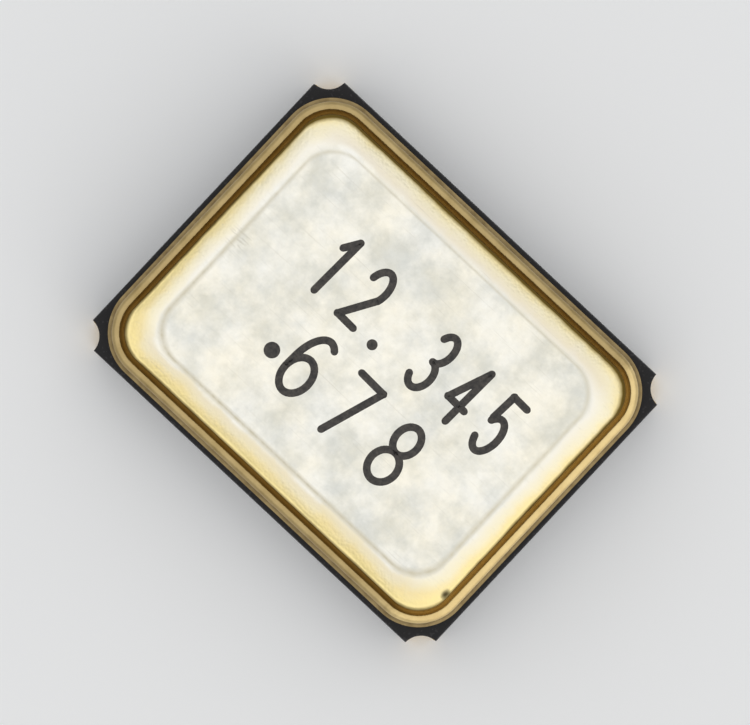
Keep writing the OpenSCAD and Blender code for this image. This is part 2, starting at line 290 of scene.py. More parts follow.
# Shared effect: where an edge sticks out and has been rubbed, with breaks in it
WORN_EDGE, given, made = shared_effect(
    "Worn Edge",
    {"Vector": "Vector", "Edge Width": "Float", "Break Size": "Float", "Amount": "Float"},
    {"Mask": "Float"},
)
flat_normal = add(WORN_EDGE, "ShaderNodeNewGeometry").outputs["Normal"]
rounded = add(WORN_EDGE, "ShaderNodeBevel", {"Radius": given["Edge Width"]}, samples=4).outputs[0]
agree = add(WORN_EDGE, "ShaderNodeVectorMath", {0: flat_normal, 1: rounded},
            operation="DOT_PRODUCT").outputs["Value"]
turned_away = math_node(WORN_EDGE, "SUBTRACT", 1.0, agree)
bent = math_node(WORN_EDGE, "MULTIPLY", turned_away, 6.0, clamp=True)
breaks = add(WORN_EDGE, "ShaderNodeTexNoise", {
    "Vector": in_units(WORN_EDGE, given["Vector"], given["Break Size"]),
    "Scale": 1.0, "Detail": 3.0}).outputs[0]
broken_up = math_node(WORN_EDGE, "MULTIPLY", bent, breaks)
WORN_EDGE.links.new(
    math_node(WORN_EDGE, "MULTIPLY", broken_up, given["Amount"], clamp=True), made["Mask"])


def patchy_finish(name, grain_size, patch_size, contrast, dark, light, rough, depth,
                  metallic=1.0, specular=0.5, rough_by_crystal=False):
    """A finish of patches of two colours under a crystal grain, which raises it by that
    depth. The roughness goes from low to high with the patches or the crystals."""
    material, tree, shader, here = new_finish(name, metallic, specular)
    grain = use_effect(tree, GRAIN, {"Vector": here, "Grain Size": grain_size})
    colour = use_effect(tree, MOTTLE, {
        "Vector": here, "Patch Size": patch_size, "Contrast": contrast,
        "Dark Colour": dark, "Light Colour": light})
    tree.links.new(colour["Colour"], shader.inputs["Base Color"])
    mask = grain["Crystals"] if rough_by_crystal else colour["Value"]
    rough_between(tree, shader, mask, *rough)
    raise_surface(tree, shader, grain["Height"], depth)
    return material


black_alumina, tree, shader, here = new_finish("black_alumina", 0.0, 0.25)
grain = use_effect(tree, GRAIN, {"Vector": here, "Grain Size": 0.012 * MM})
body_colour = use_effect(tree, MOTTLE, {
    "Vector": here, "Patch Size": 0.12 * MM, "Contrast": 2.0,
    "Dark Colour": (0.0075, 0.0072, 0.0080, 1), "Light Colour": (0.0150, 0.0142, 0.0155, 1)})
level = add(tree, "ShaderNodeSeparateXYZ", {0: here}).outputs[2]
from_middle = math_node(tree, "ABSOLUTE", math_node(tree, "SUBTRACT", level, (BASE_Z + RIM_Z) / 2))
either_way = math_node(tree, "SUBTRACT", body_colour["Value"], 0.5)
ragged = math_node(tree, "MULTIPLY", either_way, SNAP_RAGGED)
snapped = ramp(tree, math_node(tree, "ADD", from_middle, ragged), SNAP_FROM, SNAP_FULL)
broken = use_effect(tree, GRAIN, {"Vector": here, "Grain Size": 0.032 * MM})
fracture = mixed(tree, math_node(tree, "MULTIPLY", snapped, broken["Height"], clamp=True),
                 body_colour["Colour"], (0.034, 0.033, 0.035, 1))
speckled = mixed(tree, math_node(tree, "GREATER_THAN", grain["Crystals"], 0.93),
                 fracture, (0.027, 0.026, 0.028, 1))
rubbed = use_effect(tree, WORN_EDGE, {
    "Vector": here, "Edge Width": 0.018 * MM, "Break Size": 0.05 * MM, "Amount": 0.8})["Mask"]
alumina = mixed(tree, rubbed, speckled, (0.075, 0.074, 0.078, 1))
tree.links.new(alumina, shader.inputs["Base Color"])
rough_between(tree, shader, body_colour["Value"], 0.42, 0.6)
coarse = math_node(tree, "MULTIPLY", broken["Height"], snapped)
relief = math_node(tree, "MULTIPLY_ADD", coarse, 4.0, grain["Height"])
raise_surface(tree, shader, relief, 0.0012 * MM)


def block_outline(side_in, notch_in):
    """The block's outline at one height: its straight sides moved in, and the radius
    of its notches grown, each by a distance of its own."""
    loop = rectangle_loop(BODY_L, BODY_W, NOTCH_R + notch_in, notched=True)
    reach = np.array([BODY_L, BODY_W]) - side_in
    return np.clip(loop, -reach, reach)


# The lower end, from the flat of the underside over the fired edge to the top of the score
fired_turn = np.linspace(0, np.pi / 2, 5)
fired_in = np.append(FACE_FLAT_FROM, FIRED_EDGE * (1 - np.sin(fired_turn)))
fired_up = np.append(0, FIRED_EDGE * (1 - np.cos(fired_turn)))
lean_share = np.array([0.2, 0.96, 1.04])
lean_in = SCORE_IN * np.clip(1 - lean_share, 0, None)
lower_end = [at_height(block_outline(SCORE_IN + e, e), z) for e, z in zip(fired_in, fired_up)]
lower_end += [at_height(block_outline(e, 0), z) for e, z in zip(lean_in, SCORE_H * lean_share)]
# The line between two layers: heights, and depths into the side
layer_line = LAYER_GROOVE * np.array(
    [(-3, 0), (-2, 0), (-0.8, 0.8), (0, 1), (0.8, 0.8), (2, 0), (3, 0)])
SHELF_Z = BASE_Z + FLOOR_T + SHELF_T
rings = [ring + [0, 0, BASE_Z] for ring in lower_end]
rings += [at_height(block_outline(dip, dip), z + step)
          for z in (BASE_Z + FLOOR_T, SHELF_Z) for step, dip in layer_line]
rings += [ring * [1, 1, -1] + [0, 0, RIM_Z] for ring in lower_end[::-1]]
cavity = rectangle_loop(CAVITY_L, CAVITY_W, CAVITY_R)
pocket = rectangle_loop(POCKET_L, POCKET_W, CAVITY_R)
rings += [at_height(cavity, RIM_Z), at_height(cavity, SHELF_Z), at_height(pocket, SHELF_Z),
          at_height(pocket, BASE_Z + FLOOR_T)]
make_piece("base_block", [skin(rings, "faces")], black_alumina, ["ceramic_base"])


# ---------------------------------------------------------------------------
# Printed leads and vias: tungsten paste printed on the layers and packed into punched
# holes before firing, then plated with nickel and a flash of gold where it is bare.
def dress(nodes, material):
    """Gives CAD nodes, which keep their shape, a finish."""
    for name in nodes:
        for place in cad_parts[name].material_slots:
            place.material = material


printed_gold = patchy_finish(
    "printed_gold", grain_size=0.008 * MM, patch_size=0.04 * MM, contrast=2.5,
    dark=(0.46, 0.30, 0.10, 1), light=(0.70, 0.50, 0.22, 1), rough=(0.38, 0.55),
    depth=0.0015 * MM)
dress(["enable_lead", "ground_lead", "output_lead", "supply_lead",
       "quartz_lead_front", "quartz_lead_back"], printed_gold)

fired_tungsten = patchy_finish(
    "fired_tungsten", grain_size=0.006 * MM, patch_size=0.03 * MM, contrast=2.5,
    dark=(0.16, 0.15, 0.14, 1), light=(0.31, 0.30, 0.28, 1), rough=(0.45, 0.65),
    depth=0.0015 * MM, rough_by_crystal=True)
dress(["lid_ground_via"], fired_tungsten)


# ---------------------------------------------------------------------------
# Terminals: four solder pads under the base. The metal also climbs the corner notches,
# where the solder's fillet can be seen once the part is on its board. Printed tungsten,
# nickel and gold. The inner corner of terminal 1 is cut off to mark it.
PAD_T = BASE_Z
PAD_L, PAD_W, PAD_INSET = 0.9 * MM, 0.75 * MM, 0.08 * MM
NOTCH_METAL_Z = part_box("terminal_3_output")[1][2]
NOTCH_METAL_T = 0.015 * MM
PAD_LAP = 0.95 * NOTCH_METAL_T
LINING_END = 0.01
COLLAR_W = 0.06 * MM
INDEX_CUT = 0.2 * MM
PRINT_CORNER = 0.03 * MM
PRINT_EDGE = 0.005 * MM
PRINT_FLAT_FROM = 1.5 * PRINT_EDGE


def bend(before, corner, after, size):
    """A corner drawn as a soft curve: a quadratic curve from a point on one side to a
    point on the other, that far from the corner, which is its control point."""
    before, corner, after = (np.array(p, float) for p in (before, corner, after))
    start = corner + size * (before - corner) / np.linalg.norm(before - corner)
    end = corner + size * (after - corner) / np.linalg.norm(after - corner)
    t = np.linspace(0, 1, 6)[:, None]
    return (1 - t) ** 2 * start + 2 * t * (1 - t) * corner + t ** 2 * end


def pad_loop(cut):
    """A pad's outline in the quarter with X and Y positive, anticlockwise. Its outer
    corner opens into a collar round the notch, whose metal it laps over: both are arcs
    about the body's corner."""
    out_x, out_y = BODY_L - PAD_INSET, BODY_W - PAD_INSET
    in_x, in_y = out_x - PAD_L, out_y - PAD_W
    collar, hollow = NOTCH_R + COLLAR_W, NOTCH_R - PAD_LAP
    first = np.arccos(PAD_INSET / collar)
    swing = np.linspace(first, np.pi / 2, 6)
    corner = np.array([BODY_L, BODY_W])
    lower = corner - collar * np.stack([np.cos(swing), np.sin(swing)], 1)
    upper = corner - collar * np.stack([np.sin(swing), np.cos(swing)], 1)
    turn = np.linspace(0, np.pi / 2, 17)
    notch = corner - hollow * np.stack([np.sin(turn), np.cos(turn)], 1)
    if cut:
        inner = [bend((in_x, out_y), (in_x, in_y + cut), (in_x + cut, in_y), PRINT_CORNER),
                 bend((in_x, in_y + cut), (in_x + cut, in_y), (out_x, in_y), PRINT_CORNER)]
    else:
        inner = [bend((in_x, out_y), (in_x, in_y), (out_x, in_y), PRINT_CORNER)]
    return np.concatenate(
        [*inner, bend((in_x, in_y), (out_x, in_y), (out_x, out_y), PRINT_CORNER), lower,
         notch, upper[::-1], bend((out_x, out_y), (in_x, out_y), (in_x, in_y), PRINT_CORNER)]
    )


def notch_lining():
    """The metal in a notch: a section of four sides with its top edge round, carried
    along the quarter circle about the body's corner, all but a hundredth of a radian
    at each end. Its foot is set into the pad."""
    inner, outer = NOTCH_R - NOTCH_METAL_T, NOTCH_R
    foot = PAD_T / 2
    a = np.linspace(0, np.pi / 2, 5)
    reach = np.concatenate([[outer, inner], inner + PRINT_EDGE * (1 - np.cos(a)), [outer]])
    height = np.concatenate([
        [foot, foot], NOTCH_METAL_Z - PRINT_EDGE * (1 - np.sin(a)), [NOTCH_METAL_Z]])
    turn = np.linspace(LINING_END, np.pi / 2 - LINING_END, 17)[:, None]
    return np.stack([BODY_L - np.sin(turn) * reach, BODY_W - np.cos(turn) * reach,
                     height + 0 * turn], 2)


solder_gold, tree, shader, here = new_finish("solder_gold", 1.0)
grain = use_effect(tree, GRAIN, {"Vector": here, "Grain Size": 0.014 * MM})
colour = use_effect(tree, MOTTLE, {
    "Vector": here, "Patch Size": 0.16 * MM, "Contrast": 2.2,
    "Dark Colour": (0.58, 0.39, 0.13, 1), "Light Colour": (0.80, 0.59, 0.26, 1)})
rubbed = use_effect(tree, WORN_EDGE, {
    "Vector": here, "Edge Width": 0.012 * MM, "Break Size": 0.06 * MM, "Amount": 0.8})["Mask"]
plating = mixed(tree, rubbed, colour["Colour"], (0.88, 0.72, 0.42, 1))
tree.links.new(plating, shader.inputs["Base Color"])
rough_between(tree, shader, colour["Value"], 0.28, 0.42)
raise_surface(tree, shader, grain["Height"], 0.0015 * MM)

print_turn = np.linspace(0, np.pi / 2, 4)
for name, node, side_x, side_y, cut in (
    ("pad_1", "terminal_1_enable", -1, -1, INDEX_CUT),
    ("pad_2", "terminal_2_ground", 1, -1, 0),
    ("pad_3", "terminal_3_output", 1, 1, 0),
    ("pad_4", "terminal_4_supply", -1, 1, 0),
):
    loop = pad_loop(cut)
    rings = [at_height(grown(loop, -PRINT_FLAT_FROM), 0)]
    rings += [at_height(grown(loop, -PRINT_EDGE * (1 - np.sin(a))), PRINT_EDGE * (1 - np.cos(a)))
              for a in print_turn]
    rings += [at_height(loop, PAD_T)]
    mirror = np.array([side_x, side_y, 1])
    skins = [skin(surface * mirror, "faces") for surface in (np.array(rings), notch_lining())]
    make_piece(name, skins, solder_gold, [node])


# ---------------------------------------------------------------------------
# Oscillator chip: a silicon die, circuit side down, with a ground back. Six gold bumps
# are pressed onto it and joined to the leads with ultrasound.
STREAKS_A_METRE = (4e4, 1.5e3, 4e4)

ground_silicon, tree, shader, here = new_finish("ground_silicon", 0.35, 0.6)
stretched = add(tree, "ShaderNodeMapping", {"Vector": here, "Scale": STREAKS_A_METRE}).outputs[0]
streaks = add(tree, "ShaderNodeTexNoise", {
    "Vector": stretched, "Scale": 1.0, "Detail": 3.0}).outputs[0]
colour = use_effect(tree, MOTTLE, {
    "Vector": here, "Patch Size": 0.3 * MM, "Contrast": 1.5,
    "Dark Colour": (0.075, 0.083, 0.100, 1), "Light Colour": (0.120, 0.128, 0.145, 1)})
silicon = mixed(tree, math_node(tree, "MULTIPLY", streaks, 0.4), colour["Colour"],
                (0.19, 0.20, 0.22, 1))
tree.links.new(silicon, shader.inputs["Base Color"])
rough_between(tree, shader, streaks, 0.22, 0.42)
raise_surface(tree, shader, streaks, 0.0006 * MM)
dress(["oscillator_chip"], ground_silicon)

soft_gold = patchy_finish(
    "soft_gold", grain_size=0.01 * MM, patch_size=0.03 * MM, contrast=2.0,
    dark=(0.68, 0.45, 0.15, 1), light=(0.86, 0.64, 0.28, 1), rough=(0.2, 0.34),
    depth=0.001 * MM, rough_by_crystal=True)
dress(["chip_bumps"], soft_gold)


# ---------------------------------------------------------------------------
# Quartz: a lapped and etched blank with a gold film on each face, held at one end by two
# dots of silver-filled glue, with its free end over a low printed rest.
lapped_quartz, tree, shader, here = new_finish("lapped_quartz", 0.0)
shader.inputs["Base Color"].default_value = (0.86, 0.90, 0.90, 1)
shader.inputs["IOR"].default_value = 1.54
shader.inputs["Transmission Weight"].default_value = 0.85
grain = use_effect(tree, GRAIN, {"Vector": here, "Grain Size": 0.01 * MM})
rough_between(tree, shader, grain["Crystals"], 0.18, 0.34)
raise_surface(tree, shader, grain["Height"], 0.0006 * MM)
dress(["quartz_blank"], lapped_quartz)

gold_film = patchy_finish(
    "gold_film", grain_size=0.01 * MM, patch_size=0.25 * MM, contrast=1.8,
    dark=(0.74, 0.52, 0.20, 1), light=(0.84, 0.63, 0.29, 1), rough=(0.14, 0.26),
    depth=0.0004 * MM)
dress(["electrode_top", "electrode_bottom"], gold_film)

silver_glue, tree, shader, here = new_finish("silver_glue", 0.55)
flakes = use_effect(tree, GRAIN, {"Vector": here, "Grain Size": 0.009 * MM})
colour = use_effect(tree, MOTTLE, {
    "Vector": here, "Patch Size": 0.05 * MM, "Contrast": 2.0,
    "Dark Colour": (0.27, 0.26, 0.25, 1), "Light Colour": (0.45, 0.44, 0.42, 1)})
filled = mixed(tree, math_node(tree, "GREATER_THAN", flakes["Crystals"], 0.7),
               colour["Colour"], (0.72, 0.71, 0.69, 1))
tree.links.new(filled, shader.inputs["Base Color"])
rough_between(tree, shader, flakes["Crystals"], 0.35, 0.6)
raise_surface(tree, shader, flakes["Height"], 0.003 * MM)
dress(["glue_dot_front", "glue_dot_back"], silver_glue)
dress(["rest_pad"], black_alumina)


# ---------------------------------------------------------------------------
# Rim metal and braze: the rim is printed with tungsten and plated with nickel, the seal
# ring is brazed onto it with silver-copper, which runs out into a hollow fillet on both
# sides of the ring, and the whole is then plated with gold.
RING_LOW, RING_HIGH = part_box("seal_ring")
RING_L, RING_W = RING_HIGH[0], RING_HIGH[1]
RING_Z, RING_TOP = RING_LOW[2], RING_HIGH[2]
BRAZE_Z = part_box("braze_joint")[0][2]
RING_WALL = 0.27 * MM
FILLET = 0.03 * MM
RIM_EDGE = 0.006 * MM
# How far out from the ring's outer side a corner is, and the radius that it has there
SEAL_RADII = np.array([[-0.30, 0.09], [-0.27, 0.12], [-0.09, 0.25], [0.0, 0.34], [0.03, 0.37]]) * MM


def carried(profile):
    """A profile's points, each a distance outwards from the seal ring's outer side and
    a height, carried round the ring as one loop each. The corner's radius is read at
    the same distance from the seal's radii, between which it changes evenly."""
    radii = np.interp(profile[:, 0], *SEAL_RADII.T)
    return np.array([
        at_height(rectangle_loop(RING_L + out, RING_W + out, r, arc=24), z)
        for (out, z), r in zip(profile, radii)
    ])


hollow_turn = np.linspace(0, np.pi / 2, 7)
fillet_out = FILLET * (1 - np.sin(hollow_turn))
fillet_up = FILLET * (1 - np.cos(hollow_turn))
outer_fillet = np.column_stack([fillet_out, RING_Z + fillet_up])
inner_fillet = np.column_stack([-RING_WALL - fillet_out, RING_Z + fillet_up])[::-1]
braze_profile = np.concatenate([
    [[FILLET, BRAZE_Z]], outer_fillet, [[0, RING_Z], [-RING_WALL, RING_Z]], inner_fillet,
    [[-RING_WALL - FILLET, BRAZE_Z]],
])

# Painted shade: darker than the ring's gold, as shade in the hollow fillets and on the rim
shaded_braze_gold = patchy_finish(
    "shaded_braze_gold", grain_size=0.016 * MM, patch_size=0.09 * MM, contrast=2.4,
    dark=(0.22, 0.155, 0.070, 1), light=(0.42, 0.315, 0.155, 1), rough=(0.40, 0.55),
    depth=0.002 * MM)
make_piece("braze_fillet", [skin(carried(braze_profile), "loop")],
           shaded_braze_gold, ["braze_joint"])

rim_turn = np.linspace(0, np.pi / 2, 4)
rim_edge = np.column_stack([FILLET - RIM_EDGE * (1 - np.cos(rim_turn)),
                            BRAZE_Z - RIM_EDGE * (1 - np.sin(rim_turn))])
rim_profile = np.concatenate([
    [[FILLET, RIM_Z]], rim_edge,
    [[-RING_WALL - FILLET, BRAZE_Z], [-RING_WALL - FILLET, RIM_Z]],
])
make_piece("rim_print", [skin(carried(rim_profile), "loop")],
           shaded_braze_gold, ["rim_metal"])


# ---------------------------------------------------------------------------
# Seal ring: a frame stamped from iron-nickel-cobalt sheet, whose outer top edge is round
# from the stamping. The rollers that welded the lid on melted a narrow groove beside it and
# burnt the gold there to brown; the brown is also painted shade in the groove. The gold is
# painted lighter at the +X end, as lit from that side, and darker elsewhere, as painted shade.
SHOULDER_R = 0.03 * MM
FLAT_END = 0.045 * MM
GROOVE_NEAR, GROOVE_FAR = 0.048 * MM, 0.094 * MM
GROOVE_DEEP = 0.034 * MM
LID_SEAT = 0.0005 * MM
BURN_AND_SHADE_FROM, BURN_AND_SHADE_FULL = 0.044 * MM, 0.056 * MM
LIT_END_FROM, LIT_END_FULL = RING_L - 0.38 * MM, RING_L - 0.14 * MM
LIT_END_RAGGED = 0.16 * MM


def mark_rings(piece, name, values):
    """Writes a number for each ring of a piece of one skin as a point attribute. A last
    point that the rings are drawn together in takes the last ring's number."""
    points = len(piece.data.vertices)
    data = np.repeat(values, points // len(values))
    data = np.append(data, [data[-1]] * (points - len(data))).astype(np.float32)
    piece.data.attributes.new(name, "FLOAT", "POINT").data.foreach_set("value", data)


shoulder_turn = np.linspace(0, np.pi / 2, 9)
groove_step = np.linspace(0, 1, 11)
shoulder = np.column_stack([-SHOULDER_R * (1 - np.cos(shoulder_turn)),
                            RING_TOP - SHOULDER_R * (1 - np.sin(shoulder_turn))])
groove = np.column_stack([-GROOVE_NEAR - (GROOVE_FAR - GROOVE_NEAR) * groove_step,
                          RING_TOP - LID_SEAT - GROOVE_DEEP * np.sin(np.pi * groove_step ** 2)])
ring_profile = np.concatenate([
    [[0, RING_Z], [0, (RING_Z + RING_TOP) / 2]], shoulder,
    [[-FLAT_END, RING_TOP - LID_SEAT / 2]], groove,
    [[-RING_WALL, RING_TOP - LID_SEAT], [-RING_WALL, RING_Z]],
])

seal_gold, tree, shader, here = new_finish("seal_gold", 1.0)
grain = use_effect(tree, GRAIN, {"Vector": here, "Grain Size": 0.01 * MM})
# Two copies of one gold: a darker one as painted shade, and a lighter one as painted light
shaded_gold = use_effect(tree, MOTTLE, {
    "Vector": here, "Patch Size": 0.14 * MM, "Contrast": 2.2,
    "Dark Colour": (0.365, 0.265, 0.114, 1), "Light Colour": (0.51, 0.386, 0.183, 1)})
lit_gold = use_effect(tree, MOTTLE, {
    "Vector": here, "Patch Size": 0.14 * MM, "Contrast": 2.2,
    "Dark Colour": (0.66, 0.485, 0.215, 1), "Light Colour": (0.86, 0.665, 0.320, 1)})
along = add(tree, "ShaderNodeSeparateXYZ", {0: here}).outputs[0]
either_way = math_node(tree, "SUBTRACT", shaded_gold["Value"], 0.5)
ragged = math_node(tree, "MULTIPLY", either_way, LIT_END_RAGGED)
# Painted light: the +X end lighter, as lit from that side
painted_lit_end = ramp(tree, math_node(tree, "ADD", along, ragged), LIT_END_FROM, LIT_END_FULL,
                  interpolation_type="SMOOTHSTEP")
plating = mixed(tree, painted_lit_end, shaded_gold["Colour"], lit_gold["Colour"])
# The groove's brown: burnt gold, and painted shade in the groove
burn_and_shade = add(tree, "ShaderNodeAttribute", attribute_name="burn_and_shade").outputs["Fac"]
burn_and_shade_share = math_node(tree, "MULTIPLY", burn_and_shade, 0.6)
tree.links.new(mixed(tree, burn_and_shade_share, plating, (0.41, 0.285, 0.11, 1)), shader.inputs["Base Color"])
rough_between(tree, shader, shaded_gold["Value"], 0.26, 0.40)
raise_surface(tree, shader, grain["Height"], 0.0012 * MM)

ring = make_piece("stamped_ring", [skin(carried(ring_profile), "loop")],
                  seal_gold, ["seal_ring"])
mark_rings(ring, "burn_and_shade", np.interp(-ring_profile[:, 0], [BURN_AND_SHADE_FROM, BURN_AND_SHADE_FULL], [0, 1])
           * (ring_profile[:, 1] > RING_Z + SHOULDER_R))


# ---------------------------------------------------------------------------
# Lid: a flat plate of the same alloy, nickel-plated. Two rollers ran along its edges and
# welded it down: the border slopes to the edge, is straw-coloured from the heat and painted
# darker inwards on the long sides as shade, has fine ripples across it, and ends in a thin line.
LID_LOW, LID_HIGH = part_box("lid")
LID_L, LID_W = LID_HIGH[0], LID_HIGH[1]
LID_Z, LID_TOP = LID_LOW[2], LID_HIGH[2]
WELD_W = 0.17 * MM
WELD_DROP = 0.03 * MM
EDGE_R = 0.022 * MM
EDGE_Z = LID_TOP - WELD_DROP
SIDE_TOP = EDGE_Z - 1.6 * EDGE_R
CORNER_R, FIELD_R = 0.25 * MM, 0.26 * MM
INK_T = 0.001 * MM
FIELD_Z = LID_TOP - INK_T
LINE_DEEP, LINE_W = 0.0035 * MM, 0.014 * MM
WAVE_H, WAVES_CLOSER = 0.0022 * MM, 1.7
PIT_AT = np.array([1.418, -0.818]) * MM
PIT_R, PIT_DEEP = 0.022 * MM, 0.02 * MM
SCUFF_AT, SCUFF_R = (-1.24 * MM, -0.02 * MM, FIELD_Z), 0.11 * MM
LINE_COLOUR, MARK_COLOUR = (0.60, 0.55, 0.42, 1), (0.56, 0.53, 0.45, 1)
# The seam's colour is burnt brown and painted shade in the groove
SEAM_BURN_AND_SHADE_COLOUR, PIT_COLOUR = (0.16, 0.105, 0.022, 1), (0.06, 0.045, 0.02, 1)
LONG_SIDE_FROM, LONG_SIDE_FULL = 0.76 * LID_W, 0.88 * LID_W
# Insets from the lid's edge, in millimetres, by which the material lays the weld's colours
HEAT_W, HEAT_SHIFT, HEAT_WANDER = 0.2, (0.012, -0.040), 0.03
SHADE_FROM, SHADE_FULL = 0.05, 0.12
BORDER_FULL, BORDER_END = 0.135, 0.175
SEAM_FADE = (0.011, 0.031)
LINE_AT, LINE_REACH = 0.176, (0.014, 0.028)


def uneven(x, y):
    """A soft unevenness between about -1 and 1: four waves of 0.2 to 0.5 mm that cross
    at different angles, added up."""
    u, v = WAVES_CLOSER * x / MM, WAVES_CLOSER * y / MM
    return (np.sin(7.1 * u + 2.3 * v + 0.4) + np.sin(-3.2 * u + 9.7 * v + 1.9)
            + np.sin(13.3 * u - 8.1 * v + 4.2) + np.sin(6.3 * u + 17.0 * v + 2.7)) / 4


def line_dip(past):
    """How far the face dips at a distance past the weld's inner line: a bell curve."""
    return LINE_DEEP * np.exp(-(past / LINE_W) ** 2)


def thin_marks(tree, here, angle, along, across, above):
    """A mask of fine straight marks: noise stretched along one direction, where it is
    above a level."""
    turned = add(tree, "ShaderNodeMapping", {
        "Vector": here, "Rotation": (0, 0, np.radians(angle)),
        "Scale": (1 / along, 1 / across, 1 / across)}).outputs[0]
    noise = add(tree, "ShaderNodeTexNoise", {"Vector": turned, "Scale": 1.0, "Detail": 2.0})
    return ramp(tree, noise.outputs[0], above, above + 0.05)


# Up the side, over the round edge and up the weld's slope, then in over the flat field
lid_turn = np.linspace(np.pi / 2, 0, 8)
edge = np.column_stack([EDGE_R * (1 - np.sin(lid_turn)), EDGE_Z - EDGE_R * (1 - np.cos(lid_turn))])
slope_in = np.linspace(EDGE_R, WELD_W, 19)[1:]
slope_turn = (slope_in - EDGE_R) / (WELD_W - EDGE_R) * np.pi / 2
slope_z = EDGE_Z + (FIELD_Z - EDGE_Z) * np.sin(slope_turn) ** 0.9 - line_dip(slope_in - WELD_W)
lid_profile = np.concatenate([
    [[0, LID_Z], [0, SIDE_TOP]], edge, np.column_stack([slope_in, slope_z])])
lid_radii = np.interp(lid_profile[:, 0], [0, WELD_W], [CORNER_R, FIELD_R])
lid_rings = [at_height(rectangle_loop(LID_L - inset, LID_W - inset, r, side=80, arc=40), z)
             for (inset, z), r in zip(lid_profile, lid_radii)]
field_loop = rectangle_loop(LID_L - WELD_W, LID_W - WELD_W, FIELD_R, side=80, arc=40)
shrink = np.append([0.994, 0.988, 0.982, 0.974], np.linspace(0.95, 0.03, 24))
lid_rings += [at_height(field_loop * s, FIELD_Z - line_dip((1 - s) * LID_W)) for s in shrink]
lid_rings = np.array(lid_rings)

# The weld's unevenness, which fades inwards, and the pit
inset_of_ring = np.append(lid_profile[:, 0], WELD_W + (1 - shrink) * (LID_W - WELD_W))
on_top = (inset_of_ring > EDGE_R)[:, None]
x, y, z = np.moveaxis(lid_rings, 2, 0)
border_share = np.clip(1 - (inset_of_ring / WELD_W), 0, 1)[:, None] * on_top
z += WAVE_H * border_share * uneven(x, y)
pit = np.exp(-(((x - PIT_AT[0]) ** 2 + 0.6 * (y - PIT_AT[1]) ** 2) / PIT_R ** 2) ** 1.5)
z -= PIT_DEEP * pit * (z > LID_Z + PIT_DEEP)
np.minimum(z, FIELD_Z, out=z)

lid_nickel, tree, shader, here = new_finish("lid_nickel", 1.0)
inset = add(tree, "ShaderNodeAttribute", attribute_name="inset").outputs["Fac"]
pitted = add(tree, "ShaderNodeAttribute", attribute_name="pit").outputs["Fac"]
grey_patch = use_effect(tree, MOTTLE, {
    "Vector": here, "Patch Size": 0.28 * MM, "Contrast": 4.2,
    "Dark Colour": (0.672, 0.664, 0.612, 1), "Light Colour": (0.958, 0.925, 0.850, 1)})
fine_patch = use_effect(tree, MOTTLE, {
    "Vector": here, "Patch Size": 0.06 * MM, "Contrast": 2.6,
    "Dark Colour": (0.64, 0.635, 0.585, 1), "Light Colour": (0.965, 0.935, 0.85, 1)})
elsewhere = add(tree, "ShaderNodeVectorMath", {0: here, 1: (0.01, 0.02, 0)}).outputs[0]
warm_patch = use_effect(tree, MOTTLE, {
    "Vector": elsewhere, "Patch Size": 0.34 * MM, "Contrast": 3.0,
    "Dark Colour": (1.0, 0.977, 0.905, 1), "Light Colour": (0.965, 0.977, 0.985, 1)})
nickel = mixed(tree, 0.25, grey_patch["Colour"], fine_patch["Colour"])
nickel = mixed(tree, 1.0, nickel, warm_patch["Colour"], "MULTIPLY")

# The weld's straw colours. It ran hotter on the -Y side, so they reach further in there,
# and they wander a little with the patches.
hotter = add(tree, "ShaderNodeVectorMath", {0: here, 1: (0.1 / LID_L, -0.9 / LID_W, 0)},
             operation="DOT_PRODUCT").outputs["Value"]
further = ramp(tree, hotter, -1.0, 1.0, *HEAT_SHIFT)
either_way = math_node(tree, "SUBTRACT", grey_patch["Value"], 0.5)
wander = math_node(tree, "MULTIPLY", either_way, HEAT_WANDER)
tempered = math_node(tree, "ADD", math_node(tree, "ADD", inset, further), wander)
straw = add(tree, "ShaderNodeValToRGB", {0: math_node(tree, "MULTIPLY", tempered, 1 / HEAT_W)})
first_stop, last_stop = straw.color_ramp.elements
first_stop.color, last_stop.color = (0.96, 0.79, 0.37, 1), (0.885, 0.845, 0.745, 1)
last_stop.position = 0.72
for stop, heat_colour in ((0.14, (0.92, 0.77, 0.41, 1)), (0.34, (0.90, 0.815, 0.575, 1))):
    straw.color_ramp.elements.new(stop).color = heat_colour
across = math_node(tree, "ABSOLUTE", add(tree, "ShaderNodeSeparateXYZ", {0: here}).outputs[1])
# Painted shade: the border darker inwards on the long sides
long_side = ramp(tree, across, LONG_SIDE_FROM, LONG_SIDE_FULL)
inner_part = ramp(tree, inset, SHADE_FROM, SHADE_FULL)
painted_shade = math_node(tree, "MULTIPLY", long_side, inner_part)
welded = mixed(tree, painted_shade, straw.outputs[0], (0.905, 0.875, 0.825, 1), "MULTIPLY")
border = ramp(tree, math_node(tree, "ADD", inset, wander), BORDER_END, BORDER_FULL,
              interpolation_type="SMOOTHSTEP")

# The seam at the very edge, brown from burning and painted shade, and the thin line where the weld
# ends
seam_edge = math_node(tree, "SUBTRACT", inset, math_node(tree, "MULTIPLY", further, 0.35))
seam_edge = math_node(tree, "ADD", seam_edge, math_node(tree, "MULTIPLY", wander, 0.2))
seam_burn_and_shade = ramp(tree, seam_edge, *SEAM_FADE, 1.0, 0.0)
line_reach = ramp(tree, hotter, -1.0, 1.0, *LINE_REACH)
from_line = math_node(tree, "ABSOLUTE", math_node(tree, "SUBTRACT", inset, LINE_AT))
line = ramp(tree, from_line, 0.0, line_reach, 1.0, 0.0)
line_strength = math_node(tree, "MULTIPLY", ramp(tree, hotter, -1.0, 1.0, 0.5, 1.0),
                          math_node(tree, "MULTIPLY_ADD", fine_patch["Value"], 0.6, 0.6))
line = math_node(tree, "MULTIPLY", line, line_strength, clamp=True)

